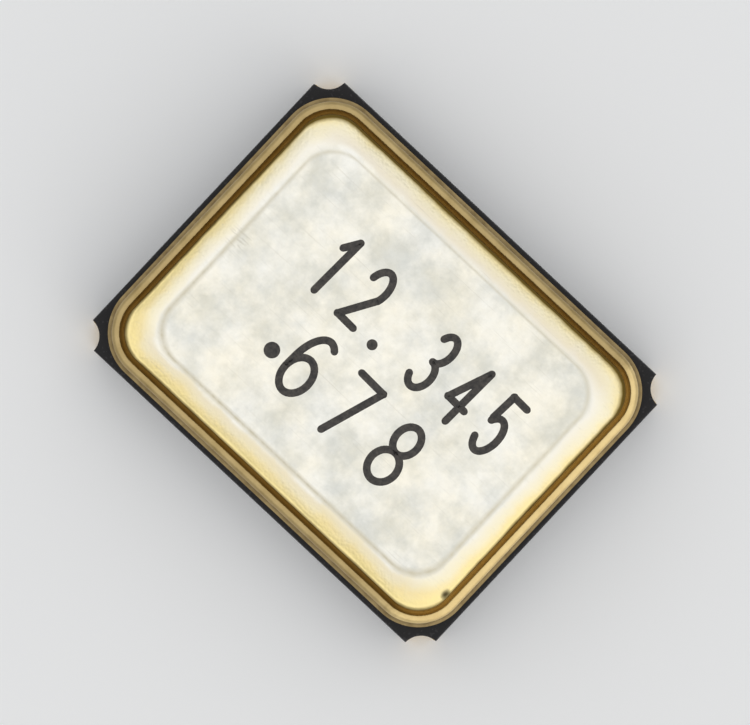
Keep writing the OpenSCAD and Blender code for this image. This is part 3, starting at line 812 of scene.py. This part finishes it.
# Hairline scratches all over, and a scuff
scratches = math_node(tree, "MAXIMUM", thin_marks(tree, here, 28, 0.5 * MM, 0.009 * MM, 0.67),
                      thin_marks(tree, here, -64, 0.35 * MM, 0.008 * MM, 0.69))
from_scuff = add(tree, "ShaderNodeVectorMath", {0: here, 1: SCUFF_AT},
                 operation="DISTANCE").outputs["Value"]
scuffs = math_node(tree, "MULTIPLY", thin_marks(tree, here, 75, 0.10 * MM, 0.012 * MM, 0.52),
                   ramp(tree, from_scuff, SCUFF_R, 0.3 * SCUFF_R))
marks = math_node(tree, "MAXIMUM", math_node(tree, "MULTIPLY", scratches, 0.28),
                  math_node(tree, "MULTIPLY", scuffs, 0.6))

# The colours one over the other, then the roughness, and the rollers' ripples as height
surface = mixed(tree, border, nickel, welded)
for mask, mark_colour in ((marks, MARK_COLOUR), (line, LINE_COLOUR), (seam_burn_and_shade, SEAM_BURN_AND_SHADE_COLOUR),
                          (pitted, PIT_COLOUR)):
    surface = mixed(tree, mask, surface, mark_colour)
tree.links.new(surface, shader.inputs["Base Color"])
patchy_field = math_node(tree, "MULTIPLY", grey_patch["Value"],
                         math_node(tree, "SUBTRACT", 1.0, border))
rough_between(tree, shader, patchy_field, 0.33, 0.40)
grain = use_effect(tree, GRAIN, {"Vector": here, "Grain Size": 0.02 * MM})
way = add(tree, "ShaderNodeTexCoord").outputs["UV"]
ripple = add(tree, "ShaderNodeTexWave", {
    "Vector": way, "Scale": 9.0, "Distortion": 1.2, "Detail": 2.0, "Detail Scale": 2.0},
    bands_direction="X").outputs["Fac"]
rippled = math_node(tree, "MULTIPLY", ripple, border)
height = math_node(tree, "MULTIPLY_ADD", rippled, 0.1, grain["Height"])
raise_surface(tree, shader, height, 0.0016 * MM)

lid = make_piece("welded_lid", [skin(lid_rings, "point")], lid_nickel, ["lid"])
mark_rings(lid, "inset", inset_of_ring / MM)
mark_rings(lid, "pit", pit.ravel())


# ---------------------------------------------------------------------------
# Marking: a frequency in plain figures and the dot that shows terminal 1, printed on the
# lid in one dark, slightly raised layer of ink, in strokes of even width with round ends.
INK_W = 0.058 * MM
INK_SEAT, INK_UNDER = FIELD_Z - 0.0003 * MM, FIELD_Z - 0.0015 * MM
ACROSS = np.linspace(-1, 1, 9)
END_TURN = np.radians(87)
LINE_TURN = np.radians(-1.9)
# How wide and how high a figure's own box is, on each line
FIRST_LINE, SECOND_LINE = (0.15 * MM, 0.44 * MM), (0.21 * MM, 0.46 * MM)
POINT_R, INDEX_R = 0.040 * MM, 0.060 * MM


def straight(x0, y0, x1, y1):
    """A straight stroke in a figure's own box, which runs from -0.5 to 0.5 both ways."""
    return np.array([[x0, y0], [x1, y1]])


def curve(x, y, half_w, half_h, start, end):
    """A stroke along an ellipse about (x, y), from one angle to another in degrees."""
    a = np.radians(np.linspace(start, end, 33))
    return np.stack([x + half_w * np.cos(a), y + half_h * np.sin(a)], 1)


def ink_arch(across):
    """The ink's height at a share of the half width: a flat arch over the lid's face."""
    return INK_T * (1 - np.abs(across) ** 6)


def ink_stroke(path):
    """A thin raised band along a path, closed all round: rows run along the path and,
    past its ends, on to almost half a width beyond them, where the band's half width
    follows a circle. Across the band, the height is the ink's flat arch, and two more
    points a row are its flat underside, just inside the lid."""
    half = INK_W / 2
    steps = np.append(0, np.cumsum(np.linalg.norm(np.diff(path, axis=0), axis=1)))
    reach = half * np.sin(np.linspace(0, END_TURN, 9))
    runs = np.concatenate([-reach[:0:-1], np.linspace(0, steps[-1], 41), steps[-1] + reach[1:]])
    inside = np.clip(runs, 0, steps[-1])
    at = np.stack([np.interp(inside, steps, path[:, i]) for i in (0, 1)], 1)
    way = np.stack([np.gradient(at[:, i]) for i in (0, 1)], 1)
    way[runs <= 0], way[runs >= steps[-1]] = path[1] - path[0], path[-1] - path[-2]
    way /= np.linalg.norm(way, axis=1, keepdims=True)
    beyond = runs - inside
    at = at + way * beyond[:, None]
    spread = np.sqrt(half ** 2 - beyond ** 2)
    side = np.stack([-way[:, 1], way[:, 0]], 1)
    flat = at[:, None] + side[:, None] * (spread[:, None] * np.append(ACROSS, [1, -1]))[..., None]
    top = INK_SEAT + ink_arch(ACROSS) * (spread / half)[:, None] ** 0.5
    z = np.concatenate([top, np.full((len(top), 2), INK_UNDER)], 1)
    return skin(np.concatenate([flat, z[..., None]], 2), "faces")


FIGURES = {
    "1": [straight(0.1, -0.5, 0.1, 0.5), straight(0.1, 0.5, -0.3, 0.27)],
    "2": [curve(0, 0.2, 0.48, 0.3, 165, -28), straight(0.42, 0.06, -0.48, -0.5),
          straight(-0.48, -0.5, 0.48, -0.5)],
    "3": [curve(0, 0.25, 0.42, 0.25, 150, -90), curve(0, -0.25, 0.48, 0.25, 90, -150)],
    "4": [straight(0.22, -0.5, 0.22, 0.5), straight(0.22, 0.5, -0.48, -0.2),
          straight(-0.48, -0.2, 0.5, -0.2)],
    "5": [straight(0.42, 0.5, -0.36, 0.5), straight(-0.36, 0.5, -0.4, 0.06),
          curve(0, -0.19, 0.48, 0.31, 140, -150)],
    "6": [curve(0.06, 0.0, 0.54, 0.5, 62, 180), straight(-0.48, 0.0, -0.48, -0.2),
          curve(0, -0.2, 0.48, 0.3, 180, -180)],
    "7": [straight(-0.48, 0.5, 0.48, 0.5), straight(0.48, 0.5, -0.14, -0.5)],
    "8": [curve(0, 0.26, 0.4, 0.24, -90, 270), curve(0, -0.24, 0.48, 0.26, 90, 450)],
}


def printed(figure, x, y, size):
    """A figure's strokes round a place on the lid: its own box, as wide and as high as
    the size says, turned with its line of print."""
    cos, sin = np.cos(LINE_TURN), np.sin(LINE_TURN)
    turn = np.array([[cos, sin], [-sin, cos]])
    return [ink_stroke((path * size) @ turn + [x, y]) for path in FIGURES[figure]]


def printed_dot(x, y, r):
    """A round dot: the ink's arch turned about its middle, on a flat underside."""
    turn = np.linspace(0, 2 * np.pi, 49)[:-1]
    circle = r * np.stack([np.cos(turn), np.sin(turn)], 1)
    rings = [at_height(circle, INK_UNDER)]
    rings += [at_height(circle * share, INK_SEAT + ink_arch(share))
              for share in (1.0, 0.93, 0.85, 0.75, 0.5, 0.25)]
    return skin(np.array(rings) + [x, y, 0], "point")


marking_ink = patchy_finish(
    "marking_ink", grain_size=0.012 * MM, patch_size=0.03 * MM, contrast=2.6,
    dark=(0.026, 0.024, 0.023, 1), light=(0.092, 0.082, 0.072, 1), rough=(0.5, 0.75),
    depth=0.001 * MM, metallic=0.0, specular=0.35)

strokes = []
for figure, x, y, size in (
    ("1", -0.642, 0.300, FIRST_LINE), ("2", -0.333, 0.290, FIRST_LINE),
    ("3", 0.284, 0.269, FIRST_LINE), ("4", 0.590, 0.259, FIRST_LINE),
    ("5", 0.895, 0.249, FIRST_LINE), ("6", -0.324, -0.333, SECOND_LINE),
    ("7", 0.079, -0.346, SECOND_LINE), ("8", 0.519, -0.361, SECOND_LINE),
):
    strokes += printed(figure, x * MM, y * MM, size)
strokes += [printed_dot(-0.096 * MM, 0.074 * MM, POINT_R),
            printed_dot(-0.565 * MM, -0.414 * MM, INDEX_R)]
make_piece("marking", strokes, marking_ink)


# ---------------------------------------------------------------------------
# The table it lies on, the soft lamps and the camera. The camera looks straight down,
# with the part's length running down to the right.
FLOOR_SIZE = 400 * MM
# The room's strength as a light, and where it is seen straight, mirrored or through glass
ROOM_LIGHT, ROOM_SEEN = 0.62, 0.68
VIEW_W = 5.06 * MM
VIEW_TURN = np.radians(43.1)

floor_mesh = bpy.data.meshes.new("floor")
floor_mesh.from_pydata(
    [(-FLOOR_SIZE, -FLOOR_SIZE, 0), (FLOOR_SIZE, -FLOOR_SIZE, 0), (FLOOR_SIZE, FLOOR_SIZE, 0),
     (-FLOOR_SIZE, FLOOR_SIZE, 0)], [], [(0, 1, 2, 3)])
floor = bpy.data.objects.new("floor", floor_mesh)
bpy.context.scene.collection.objects.link(floor)
pale_table, tree, shader, here = new_finish("pale_table", 0.0, 0.2)
shader.inputs["Base Color"].default_value = (0.94, 0.94, 0.94, 1)
shader.inputs["Roughness"].default_value = 0.8
floor_mesh.materials.append(pale_table)

world = bpy.data.worlds.new("studio")
bpy.context.scene.world = world
world.use_nodes = True
tree = world.node_tree
room = tree.nodes["Background"]
room.inputs["Color"].default_value = (0.97, 0.985, 1.0, 1)
seen = add(tree, "ShaderNodeLightPath").outputs
mirrored = math_node(tree, "MAXIMUM", seen["Is Glossy Ray"], seen["Is Transmission Ray"])
seen_at_all = math_node(tree, "MAXIMUM", seen["Is Camera Ray"], mirrored)
tree.links.new(ramp(tree, seen_at_all, 0.0, 1.0, ROOM_LIGHT, ROOM_SEEN), room.inputs["Strength"])


def soft_lamp(name, towards, half_angle, share, colour):
    """A round soft lamp far away, which looks that many degrees wide each way. Its
    strength is pi times the share of full white that it gives a sheet square to it."""
    lamp = bpy.data.lights.new(name, "SUN")
    lamp.angle = np.radians(2 * half_angle)
    lamp.energy = share * np.pi
    lamp.color = colour
    holder = bpy.data.objects.new(name, lamp)
    bpy.context.scene.collection.objects.link(holder)
    holder.rotation_euler = Vector(towards).to_track_quat("Z", "Y").to_euler()


soft_lamp("overhead", (0.05, 0.0, 1.0), 37, 0.16, (1.0, 0.995, 0.98))
soft_lamp("key", (0.90, -0.14, 0.55), 25, 0.075, (1.0, 0.97, 0.92))
soft_lamp("fill", (-0.8, 0.5, 0.6), 25, 0.02, (0.94, 0.97, 1.0))

lens = bpy.data.cameras.new("camera")
lens.lens = 300
lens.sensor_width = 36
camera_height = VIEW_W * lens.lens / lens.sensor_width
lens.clip_start, lens.clip_end = 0.1 * MM, 1.0
camera = bpy.data.objects.new("camera", lens)
bpy.context.scene.collection.objects.link(camera)
camera.location = (0, 0, cad_high[2] + camera_height)
camera.rotation_euler = (0, 0, VIEW_TURN)
bpy.context.scene.camera = camera
bpy.context.scene.view_settings.view_transform = "Standard"

bpy.context.view_layer.update()
